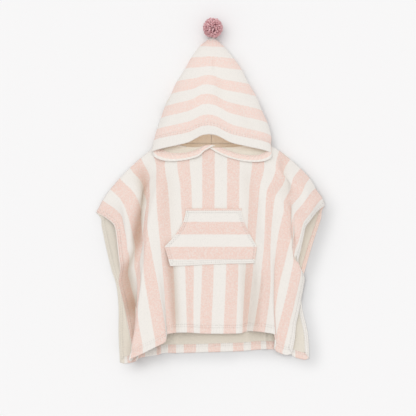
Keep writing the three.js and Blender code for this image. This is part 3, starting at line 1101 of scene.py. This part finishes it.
@dataclass
class Graph:
    """A node tree that is wired by short calls."""

    tree: bpy.types.NodeTree

    def put(self, socket: bpy.types.NodeSocket, value: Value) -> None:
        """Links an input to a socket, or sets its number or colour."""
        if isinstance(value, bpy.types.NodeSocket):
            self.tree.links.new(value, socket)
        else:
            socket.default_value = value

    def node(self, kind: str, inputs: dict[str | int, Value], **settings: object) -> bpy.types.Node:
        """Adds a shader node.

        Args:
            kind: the node's type, without the words that all types share.
            inputs: a socket, number or colour for each input that is set.
            **settings: the node's own settings, made before its inputs are set.

        Returns:
            The node.
        """
        made = self.tree.nodes.new(f"ShaderNode{kind}")
        for name, setting in settings.items():
            setattr(made, name, setting)
        for label, value in inputs.items():
            self.put(made.inputs[label], value)
        return made

    def math(self, operation: str, a: Value, b: Value = 0.0) -> bpy.types.NodeSocket:
        """Adds a Math node and returns its output."""
        return self.node("Math", {0: a, 1: b}, operation=operation).outputs[0]

    def scale(self, vector: Value, by: Value) -> bpy.types.NodeSocket:
        """Multiplies a colour or vector by a number."""
        return self.node("VectorMath", {0: vector, "Scale": by}, operation="SCALE").outputs[0]

    def clamp(self, value: Value) -> bpy.types.NodeSocket:
        """Holds a number between 0 and 1."""
        return self.node("Clamp", {"Value": value}).outputs["Result"]

    def remap(
        self, value: Value, old: tuple[float, float], new: tuple[float, float] = (0.0, 1.0),
    ) -> bpy.types.NodeSocket:
        """Maps a number from one range to another, and holds it there."""
        limits = zip(("From Min", "From Max", "To Min", "To Max"), (*old, *new))
        return self.node("MapRange", {"Value": value, **dict(limits)}).outputs["Result"]

    def mix(self, share: Value, a: Value, b: Value, blend: str = "MIX") -> bpy.types.NodeSocket:
        """Mixes two colours."""
        inputs = {"Factor": share, "A": a, "B": b}
        return self.node("Mix", inputs, data_type="RGBA", blend_type=blend).outputs["Result"]

    def noise(self, scale: float, **inputs: float) -> bpy.types.NodeSocket:
        """Adds soft noise over the object's own place."""
        inputs = {"Vector": self.place(), "Scale": scale, **inputs}
        return self.node("TexNoise", inputs).outputs["Fac"]

    def place(self) -> bpy.types.NodeSocket:
        """The place on the object."""
        return self.node("TexCoord", {}).outputs["Object"]

    def marks(self, name: str) -> bpy.types.bpy_prop_collection:
        """The three numbers that a mesh stores under a name."""
        stored = self.node("Attribute", {}, attribute_name=name).outputs["Vector"]
        return self.node("SeparateXYZ", {"Vector": stored}).outputs

    def bump(
        self, height: Value, strength: float, depth: float, **inputs: Value,
    ) -> bpy.types.NodeSocket:
        """Turns a height into a normal, with the depth in millimetres."""
        inputs = {"Height": height, "Strength": strength, "Distance": depth * MM, **inputs}
        return self.node("Bump", inputs).outputs["Normal"]

    def group(self, shared: "SharedGroup", inputs: dict[str, Value]) -> bpy.types.bpy_prop_collection:
        """Places a node group, with its own values, and returns its outputs."""
        return self.node("Group", inputs, node_tree=shared.tree()).outputs


@dataclass(frozen=True)
class SharedGroup:
    """A shader node group that several materials use, built once."""

    name: str
    inputs: dict[str, float | tuple[float, ...]]
    outputs: tuple[str, ...]

    def tree(self) -> bpy.types.NodeTree:
        """The group's node tree, made at its first use.

        Returns:
            The node tree.
        """
        if self.name in bpy.data.node_groups:
            return bpy.data.node_groups[self.name]
        tree = bpy.data.node_groups.new(self.name, "ShaderNodeTree")
        for label, value in self.inputs.items():
            kind = "NodeSocketColor" if isinstance(value, tuple) else "NodeSocketFloat"
            socket = tree.interface.new_socket(label, in_out="INPUT", socket_type=kind)
            socket.default_value = value
        for label in self.outputs:
            kind = "NodeSocketColor" if label == "Color" else "NodeSocketFloat"
            tree.interface.new_socket(label, in_out="OUTPUT", socket_type=kind)
        start = tree.nodes.new("NodeGroupInput").outputs
        end = tree.nodes.new("NodeGroupOutput").inputs
        graph = Graph(tree)
        for label, value in self.wire(graph, start).items():
            graph.put(end[label], value)
        return tree

    def wire(self, graph: Graph, start: bpy.types.bpy_prop_collection) -> dict[str, Value]:
        """Adds the group's nodes after its inputs and returns a socket for each output."""
        raise NotImplementedError


@dataclass(frozen=True)
class DyedStripes(SharedGroup):
    """Dyed stripes, coloured by a distance along the cloth."""

    wobble_scale: float = 260.0
    wobble: float = 2.2
    fleck_scale: float = 340.0
    fleck_noise: tuple[float, float] = (0.38, 0.62)
    fleck_dye: tuple[float, float] = (0.45, 1.1)

    def wire(self, graph: Graph, start: bpy.types.bpy_prop_collection) -> dict[str, Value]:
        """Adds stripes with a wavering edge and flecks of undyed yarn.

        Args:
            graph: the group's graph.
            start: outputs of the group's input node.

        Returns:
            A socket for each output.
        """
        wobble = graph.noise(self.wobble_scale, Detail=2.0)
        shake = graph.math("MULTIPLY", graph.math("SUBTRACT", wobble, 0.5), self.wobble)
        moved = graph.math("ADD", start["Distance"], shake)
        past = graph.math("SUBTRACT", moved, start["Centre"])
        turns = graph.math("DIVIDE", past, start["Period"])
        part = graph.math("FRACT", graph.math("ADD", turns, 0.5))
        aside = graph.math("ABSOLUTE", graph.math("SUBTRACT", part, 0.5))
        away = graph.math("MULTIPLY", graph.math("SUBTRACT", 0.25, aside), start["Period"])
        soft = graph.math("ADD", graph.math("DIVIDE", away, start["Fade"]), 0.5)
        speckle = graph.noise(self.fleck_scale, Detail=3.0, Roughness=0.7)
        flecks = graph.remap(speckle, self.fleck_noise, self.fleck_dye)
        amount = graph.math("MULTIPLY", graph.clamp(soft), flecks)
        return {"Color": graph.mix(amount, start["Pale"], start["Tint"])}


@dataclass(frozen=True)
class TerryLoops(SharedGroup):
    """The small loops of terry: a height, and a colour shaded between loops."""

    fuzz_scale: float = 1500.0
    fuzz: float = 0.5

    def wire(self, graph: Graph, start: bpy.types.bpy_prop_collection) -> dict[str, Value]:
        """Adds cells of the loops' size, and finer fuzz on them.

        Args:
            graph: the group's graph.
            start: outputs of the group's input node.

        Returns:
            A socket for each output.
        """
        scale = graph.math("DIVIDE", 1 / MM, start["Loop size"])
        cells = graph.node("TexVoronoi", {"Vector": graph.place(), "Scale": scale})
        distance = cells.outputs["Distance"]
        fuzz = graph.math("MULTIPLY", graph.noise(self.fuzz_scale), self.fuzz)
        height = graph.math("ADD", graph.math("SUBTRACT", 1.0, distance), fuzz)
        keep = graph.math("SUBTRACT", 1.0, graph.math("MULTIPLY", distance, start["Shade"]))
        return {"Color": graph.scale(start["Color"], keep), "Height": height}


@dataclass(frozen=True)
class SewnRows(SharedGroup):
    """A double row of stitches along a hem: grooves, thread and puckers between, with painted shade
    in the grooves and painted light and shade on the puckers.
    """

    first_row: float = 1.0
    stitch_share: float = 0.62
    phase_scale: float = 45.0
    phase: float = 9.0
    pucker_start: float = 5.0
    pucker_slope: float = 0.2
    depth: float = 0.8

    def wire(self, graph: Graph, start: bpy.types.bpy_prop_collection) -> dict[str, Value]:
        """Adds the rows and puckers with their painted shade and light, and paints shade on the cloth
        down in its creases.

        Args:
            graph: the group's graph.
            start: outputs of the group's input node.

        Returns:
            A socket for each output.
        """
        first = graph.math("SUBTRACT", start["Outward"], self.first_row)
        second = graph.math("SUBTRACT", first, start["Row spacing"])
        nearest = graph.math(
            "MINIMUM", graph.math("ABSOLUTE", first), graph.math("ABSOLUTE", second),
        )
        within = graph.math("DIVIDE", nearest, start["Row width"])
        groove = graph.math("MAXIMUM", graph.math("SUBTRACT", 1.0, within), 0.0)
        stitches = graph.math("DIVIDE", start["Run"], start["Stitch pitch"])
        shown = graph.math("LESS_THAN", graph.math("FRACT", stitches), self.stitch_share)
        thread = graph.math("MULTIPLY", groove, shown)
        phase = graph.math("MULTIPLY", graph.noise(self.phase_scale), self.phase)
        waves = graph.math("DIVIDE", start["Run"], start["Pucker pitch"])
        angle = graph.math("ADD", graph.math("MULTIPLY", waves, 2 * math.pi), phase)
        inward = graph.math("ADD", start["Outward"], self.pucker_start)
        near = graph.math("MULTIPLY", inward, self.pucker_slope)
        wave = graph.math("MULTIPLY", graph.math("SINE", angle), graph.clamp(near))
        pucker = graph.math("MULTIPLY", wave, start["Pucker"])
        sunk = graph.math("MULTIPLY", graph.math("SUBTRACT", thread, groove), self.depth)
        # Painted shade in the grooves, and painted light and shade along the puckers
        painted_stitch_shade = graph.math("SUBTRACT", graph.math("SUBTRACT", groove, thread), pucker)
        keep = graph.math("SUBTRACT", 1.0, graph.math("MULTIPLY", painted_stitch_shade, start["Shade"]))
        shaded = graph.scale(start["Color"], keep)
        # Painted shade: the cloth's colour is darkened toward a warm brown down in the creases
        painted_crease_shaded = graph.mix(start["Hollow"], shaded, start["Crease tone"], "MULTIPLY")
        return {"Color": painted_crease_shaded, "Height": graph.math("ADD", sunk, pucker)}


WHITE = (0.9, 0.9, 0.9, 1.0)
STRIPES = DyedStripes(
    "Dyed stripes",
    {"Distance": 0.0, "Centre": 0.0, "Period": PERIOD, "Fade": 1.6, "Pale": WHITE, "Tint": WHITE},
    ("Color",),
)
LOOPS = TerryLoops(
    "Terry loops", {"Color": WHITE, "Loop size": 1.5, "Shade": 0.1}, ("Color", "Height"),
)
ROWS = SewnRows(
    "Sewn rows",
    {
        "Color": WHITE, "Run": 0.0, "Outward": 0.0, "Hollow": 0.0, "Row spacing": 4.4,
        "Row width": 1.3, "Stitch pitch": 4.6, "Pucker pitch": 7.6, "Pucker": 0.45,
        # Shade is the painted shade of grooves and puckers; the last colour is that of the painted
        # shade in creases
        "Shade": 0.11, "Crease tone": (0.56, 0.46, 0.36, 1.0),
    },
    ("Color", "Height"),
)


def start_material(
    name: str, values: dict[str, float],
) -> tuple[bpy.types.Material, Graph, bpy.types.bpy_prop_collection]:
    """Starts a material.

    Args:
        name: name of the material.
        values: numbers for its shader's inputs.

    Returns:
        The material, its graph and its shader's inputs.
    """
    material = bpy.data.materials.new(name)
    material.use_nodes = True
    shader = material.node_tree.nodes["Principled BSDF"].inputs
    for label, value in values.items():
        shader[label].default_value = value
    return material, Graph(material.node_tree), shader


@dataclass(frozen=True)
class TerryFinish:
    """Colours of the looped terry and the place of its first coloured stripe."""

    name: str
    centre: float
    pale: Colour = (0.90, 0.865, 0.815)
    tint: Colour = (0.89, 0.66, 0.58)
    reverse: Colour = (0.82, 0.765, 0.67)
    # Painted light: colour of the glow given to the reverse
    glow: Colour = (1.0, 0.72, 0.50)
    fade: float = 1.6
    pucker: float = 0.12
    turned_pucker: float = 0.12
    hem_edge: tuple[float, float] = (0.97, 1.03)
    # Strength, and depth in millimetres, of the relief of the nap and of the sewn rows
    nap: tuple[float, float] = (0.5, 0.8)
    relief: tuple[float, float] = (0.8, 1.0)

    def make(self, face: Face) -> bpy.types.Material:
        """Builds the material of one face: stripes, or a plain reverse with striped turned hems.

        Args:
            face: which face of the cloth.

        Returns:
            The material.
        """
        plain = face is Face.REVERSE
        material, graph, shader = start_material(
            f"{self.name} {'inside' if plain else 'outside'}",
            {
                "Roughness": 0.95, "Specular IOR Level": 0.1,
                "Sheen Weight": 0.06, "Sheen Roughness": 0.5,
            },
        )
        counted = graph.marks("turned" if plain else "cut")
        sewn = graph.marks("sewn")
        light = graph.marks("light")
        colour = graph.group(STRIPES, {
            "Distance": counted["X"], "Centre": self.centre, "Fade": self.fade,
            "Pale": (*self.pale, 1.0), "Tint": (*self.tint, 1.0),
        })["Color"]
        if plain:
            within = graph.remap(counted["Y"], self.hem_edge)
            colour = graph.mix(within, colour, (*self.reverse, 1.0))
            # Painted light: the reverse glows by the panel's glow mark
            graph.put(shader["Emission Color"], graph.scale(self.glow, light["X"]))
            graph.put(shader["Emission Strength"], 1.0)
        loops = graph.group(LOOPS, {"Color": colour})
        # The rows also paint shade on the cloth down in the creases, by the panel's mark
        rows = graph.group(ROWS, {
            "Color": loops["Color"], "Run": sewn["X"], "Outward": sewn["Y"], "Hollow": light["Y"],
            "Pucker": self.turned_pucker if plain else self.pucker,
        })
        nap = graph.bump(loops["Height"], *self.nap)
        graph.put(shader["Base Color"], rows["Color"])
        graph.put(shader["Normal"], graph.bump(rows["Height"], *self.relief, Normal=nap))
        return material


@dataclass
class Pompom:
    """Yarn pompom: cut strands that stand out of a small core, with a stalk to the hood."""

    name: str = "pompom_yarn"
    centre: Colour = (3.0, 363.0, 23.4)
    radius: float = 21.5
    reach_share: tuple[float, float] = (0.97, 0.06)
    reach_most: float = 22.6
    core: float = 12.0
    root_share: float = 0.7
    strands: int = 900
    lean: float = 0.07
    strand_root: float = 0.7
    strand_tip: tuple[float, float] = (1.1, 1.6)
    stalk_end: Colour = (1.5, 343.55, 11.4)
    stalk_radii: tuple[float, float] = (3.0, 2.0)
    bare_round_stalk: float = 0.88
    curl_size: float = 5.0
    curl: float = 0.7
    seed: int = 7
    # Painted shade: inside this share of the radius the strands darken toward the gap colour
    lit_from: tuple[float, float] = (0.72, 0.97)
    tone_scale: float = 300.0
    tone_spread: float = 0.4
    relief: tuple[float, float] = (0.4, 0.5)
    # Painted shade between the strands, near the core
    gap: Colour = (0.30, 0.10, 0.12)
    dark: Colour = (0.62, 0.30, 0.32)
    light: Colour = (0.90, 0.58, 0.60)

    def build(self) -> bpy.types.Object:
        """Makes the core, the stalk and the strands as one mesh.

        Returns:
            The pompom's object.
        """
        draw = random.Random(self.seed)
        # Blender's vector noise starts from the clock unless it is seeded
        noise.seed_set(self.seed)
        bm = bmesh.new()
        middle = Vector(self.centre)
        tip = Vector(self.stalk_end)
        layer = bm.verts.layers.float_vector.new("yarn")
        place = Matrix.Translation(middle)
        bmesh.ops.create_icosphere(bm, subdivisions=3, radius=self.core, matrix=place)
        self._rod(bm, middle, tip, *self.stalk_radii, 8)
        to_tip = (tip - middle).normalized()
        for i in range(self.strands):
            way = self._way(i)
            shift = Vector((draw.gauss(0, 1), draw.gauss(0, 1), draw.gauss(0, 1)))
            way = (way + shift * self.lean).normalized()
            reach = self.radius * (self.reach_share[0] + self.reach_share[1] * draw.gauss(0, 1))
            if way.dot(to_tip) > self.bare_round_stalk:
                continue
            root = middle + way * self.core * self.root_share
            outer = middle + way * min(reach, self.reach_most)
            thick = draw.uniform(*self.strand_tip)
            rod = self._rod(bm, root, outer, self.strand_root, thick, 6)
            tone = draw.random()
            for vert in rod:
                vert[layer] = Vector((tone, (vert.co - middle).length / self.radius, 0.0))
        for vert in bm.verts:
            curled = vert.co + noise.noise_vector(vert.co / self.curl_size) * self.curl
            vert.co = Vector((np.array(curled) + CENTRING) * MM)
        bmesh.ops.recalc_face_normals(bm, faces=bm.faces[:])
        return finish_mesh(self.name, bm)

    def _way(self, i: int) -> Vector:
        """Direction of a strand, so that all are spread evenly over the ball."""
        height = 1 - 2 * (i + 0.5) / self.strands
        turn = i * math.pi * (3 - math.sqrt(5))
        level = math.sqrt(1 - height * height)
        return Vector((level * math.cos(turn), level * math.sin(turn), height))

    @staticmethod
    def _rod(
        bm: bmesh.types.BMesh, start: Vector, end: Vector, thin: float, thick: float, sides: int,
    ) -> list[bmesh.types.BMVert]:
        """Adds a closed rod.

        Args:
            bm: the bmesh to add to.
            start: middle of its first end.
            end: middle of its other end.
            thin: radius of the first end.
            thick: radius of the other end.
            sides: how many sides it has.

        Returns:
            The rod's points.
        """
        way = end - start
        turn = way.to_track_quat("Z", "Y").to_matrix().to_4x4()
        made = bmesh.ops.create_cone(
            bm, cap_ends=True, segments=sides, radius1=thin, radius2=thick, depth=way.length,
            matrix=Matrix.Translation((start + end) / 2) @ turn,
        )
        return made["verts"]

    def dress(self, piece: bpy.types.Object) -> None:
        """Gives the pompom dyed wool yarn, with painted shade between the strands toward the core.

        Args:
            piece: the pompom's object.
        """
        material, graph, shader = start_material(
            "yarn", {"Roughness": 0.9, "Specular IOR Level": 0.15, "Sheen Weight": 0.15},
        )
        tone = graph.noise(self.tone_scale, Detail=4.0)
        yarn = graph.marks("yarn")
        spread = graph.math("ADD", yarn["X"], graph.math("MULTIPLY", tone, self.tone_spread))
        share = graph.math("SUBTRACT", spread, self.tone_spread / 2)
        strand = graph.mix(share, (*self.dark, 1.0), (*self.light, 1.0))
        # Painted shade: the strands turn to the gap colour toward the core
        depth = graph.remap(yarn["Y"], self.lit_from)
        graph.put(shader["Base Color"], graph.mix(depth, (*self.gap, 1.0), strand))
        graph.put(shader["Normal"], graph.bump(tone, *self.relief))
        piece.data.materials.append(material)

    def declare(self, piece: bpy.types.Object) -> None:
        """Attaches the pompom to the root body and hides the solid that it stands for."""
        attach(piece, "root")
        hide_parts("pompom")


@dataclass(frozen=True)
class Sun:
    """A soft sun: the way its light goes, its strength and its width in degrees."""

    way: tuple[float, float, float]
    strength: float
    width: float
    tone: Colour = (0.955, 1.0, 0.985)

    def make(self, name: str, lit: list[bpy.types.Object]) -> None:
        """Makes the sun, which lights only the given objects.

        Args:
            name: name of the light.
            lit: the objects that it lights.
        """
        data = bpy.data.lights.new(name, "SUN")
        data.energy = self.strength
        data.color = self.tone
        data.angle = math.radians(self.width)
        sun = bpy.data.objects.new(name, data)
        sun.rotation_euler = Vector(self.way).to_track_quat("-Z", "Y").to_euler()
        bpy.context.collection.objects.link(sun)
        group = bpy.data.collections.new(f"lit by {name}")
        for piece in lit:
            group.objects.link(piece)
        sun.light_linking.receiver_collection = group


@dataclass
class Studio:
    """Pale floor with a painted soft shadow, soft light from the upper left, and the camera straight
    above.
    """

    look_at: tuple[float, float] = (-7.7, -34.1)
    frame_width: float = 0.915
    lens: float = 120.0
    sensor: float = 36.0
    cloth_level: float = 0.03
    world_tone: Colour = (1.0, 0.972, 0.98)
    world_strength: float = 0.75
    cloth_sun: Sun = Sun((0.02, -0.25, -1.0), 1.05, 45.0)
    floor_sun: Sun = Sun((0.25, -0.3, -1.0), 1.03, 50.0)
    floor_tone: Colour = (0.90, 0.90, 0.90)
    floor_reach: float = 6.0
    floor_half: float = 0.55
    floor_cells: int = 160
    # Painted shadow on the floor: its shift, blur, reach in cells, depth from bottom to top, and fade
    shade_shift: tuple[float, float] = (15.0, -10.0)
    shade_blur: float = 12.0
    shade_cells: int = 12
    shade_depth: tuple[float, float] = (0.25, 0.08)
    shade_fade: float = 180.0

    def camera(self) -> None:
        """Makes the camera, straight above the poncho."""
        data = bpy.data.cameras.new("camera")
        data.lens = self.lens
        data.sensor_width = self.sensor
        data.clip_end = 20.0
        camera = bpy.data.objects.new("camera", data)
        height = self.frame_width * self.lens / self.sensor + self.cloth_level
        camera.location = (*(np.array(self.look_at) + CENTRING[:2]) * MM, height)
        bpy.context.collection.objects.link(camera)
        bpy.context.scene.camera = camera

    def floor(self) -> bpy.types.Object:
        """Makes the plain pale surface that the poncho lies on, with small cells near it.

        Returns:
            The floor's object.
        """
        bm = bmesh.new()
        cells = self.floor_cells + 2
        bmesh.ops.create_grid(bm, x_segments=cells, y_segments=cells, size=1.0)
        bm.verts.layers.float.new("shade")
        for vert in bm.verts:
            for axis in (0, 1):
                share = vert.co[axis] * cells / self.floor_cells
                near = abs(share) < 1.001
                far = math.copysign(self.floor_reach, share)
                vert.co[axis] = share * self.floor_half if near else far
        floor = finish_mesh("floor", bm)
        material, graph, shader = start_material(
            "floor", {"Roughness": 1.0, "Specular IOR Level": 0.0},
        )
        # Painted shadow: the floor's colour is darkened by its shade mark
        shade = graph.node("Attribute", {}, attribute_name="shade").outputs["Fac"]
        tone = graph.scale(self.floor_tone, graph.math("SUBTRACT", 1.0, shade))
        graph.put(shader["Base Color"], tone)
        floor.data.materials.append(material)
        return floor

    def paint_floor_shadow(self, floor: bpy.types.Object, pieces: list[bpy.types.Object]) -> None:
        """Paints a soft shadow on the floor beside the pieces, to the right and below.

        Args:
            floor: the floor.
            pieces: what lies on it.
        """
        cell = 2 * self.floor_half / self.floor_cells
        shade = np.zeros((self.floor_cells + 1, self.floor_cells + 1))
        for piece in pieces:
            spots = self._spots(piece, cell)
            shade[spots[:, 0], spots[:, 1]] = 1.0
        steps = np.arange(-self.shade_cells, self.shade_cells + 1) * cell / MM
        for axis, shift in enumerate(self.shade_shift):
            weights = np.exp(-(((steps - shift) / self.shade_blur) ** 2) / 2)
            weights /= weights.sum()
            shade = np.apply_along_axis(np.convolve, axis, shade, weights, "same")
        spots = self._spots(floor, cell)
        inside = (spots.min(axis=1) >= 0) & (spots.max(axis=1) <= self.floor_cells)
        spots = spots[inside]
        y = spots[:, 1] * cell - self.floor_half
        depth = lerp(*self.shade_depth, ease(y / MM / self.shade_fade + 0.5))
        values = np.zeros(len(inside))
        values[inside] = depth * shade[spots[:, 0], spots[:, 1]]
        floor.data.attributes["shade"].data.foreach_set("value", values)

    def _spots(self, piece: bpy.types.Object, cell: float) -> np.ndarray:
        """Column and row of the floor's cell corner nearest to each point of a piece."""
        spots = np.zeros(len(piece.data.vertices) * 3)
        piece.data.vertices.foreach_get("co", spots)
        return np.round((spots.reshape(-1, 3)[:, :2] + self.floor_half) / cell).astype(int)

    def light(self, floor: bpy.types.Object, pieces: list[bpy.types.Object]) -> None:
        """Makes the even surrounding light, a sun for the cloth and one for the floor.

        Args:
            floor: the floor.
            pieces: what lies on it.
        """
        world = bpy.data.worlds.new("studio")
        world.use_nodes = True
        back = world.node_tree.nodes["Background"]
        back.inputs["Color"].default_value = (*self.world_tone, 1.0)
        back.inputs["Strength"].default_value = self.world_strength
        scene = bpy.context.scene
        scene.world = world
        self.cloth_sun.make("cloth sun", pieces)
        self.floor_sun.make("floor sun", [floor])
        scene.view_settings.view_transform = "Standard"
        scene.view_settings.look = "None"


def panels(form: PonchoForm) -> list[tuple[ClothPanel, TerryFinish]]:
    """The four panels of cloth, each with its terry.

    Args:
        form: shape of the whole poncho.

    Returns:
        Pairs of a panel and its finish, in the order that they are laid.
    """
    back = BodyPanel(
        "back_cloth", "back_panel", "terry", 150, 130, form.terry, (0.596, 0.486), "laid",
        ("floor",), area=0.27, wrinkle=0.3, seed=4.2, form=form, front=False, centre=6.6,
        tones=(0.0, 1.0), upside=Face.REVERSE, creases=BACK_CREASES, plain_side=Side.LEFT,
    )
    front = BodyPanel(
        "front_cloth", "front_panel", "terry", 200, 150, form.terry, (0.596, 0.446), "laid",
        ("back_panel",), area=0.24, seed=1.3, form=form, tones=(1.0, 0.0), creases=FRONT_CREASES,
    )
    pocket = PocketPanel(
        "pocket_cloth", "pocket", "pocket_terry", 90, 60, 2.0, (0.244, 0.125), "laid",
        ("front_panel",), area=0.0245, wrinkle=0.3, seed=8.1, form=form, groove=0.35,
    )
    hood = HoodPanel(
        "hood_cloth", "hood", "terry", 220, 110, form.terry, (0.546, 0.266), "folded",
        ("front_panel", "back_panel"), seed=2.6, form=form, wrinkle=0.9, creases=HOOD_CREASES,
    )
    hood_terry = TerryFinish(
        "hood terry", 33.5, tint=(0.93, 0.715, 0.64), pucker=0.05, turned_pucker=0.2,
    )
    return [
        (back, TerryFinish("back terry", back.centre)),
        (front, TerryFinish("front terry", front.centre)),
        (pocket, TerryFinish("pocket terry", pocket.stripe_centre, pucker=0.07)),
        (hood, hood_terry),
    ]


def main() -> None:
    """Builds the studio and every piece, and reports each one."""
    logging.basicConfig(level=logging.INFO, format="%(name)s: %(message)s")
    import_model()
    studio = Studio()
    studio.camera()
    floor = studio.floor()
    pieces = []
    for panel, finish in panels(PonchoForm()):
        piece = panel.build()
        panel.dress(piece, finish)
        panel.declare(piece)
        pieces.append(piece)
    pompom = Pompom()
    yarn = pompom.build()
    pompom.dress(yarn)
    pompom.declare(yarn)
    pieces.append(yarn)
    for piece in pieces:
        LOG.info("%s: %d faces", piece.name, len(piece.data.polygons))
    studio.light(floor, pieces)
    studio.paint_floor_shadow(floor, pieces)


if __name__ == "__main__":
    main()
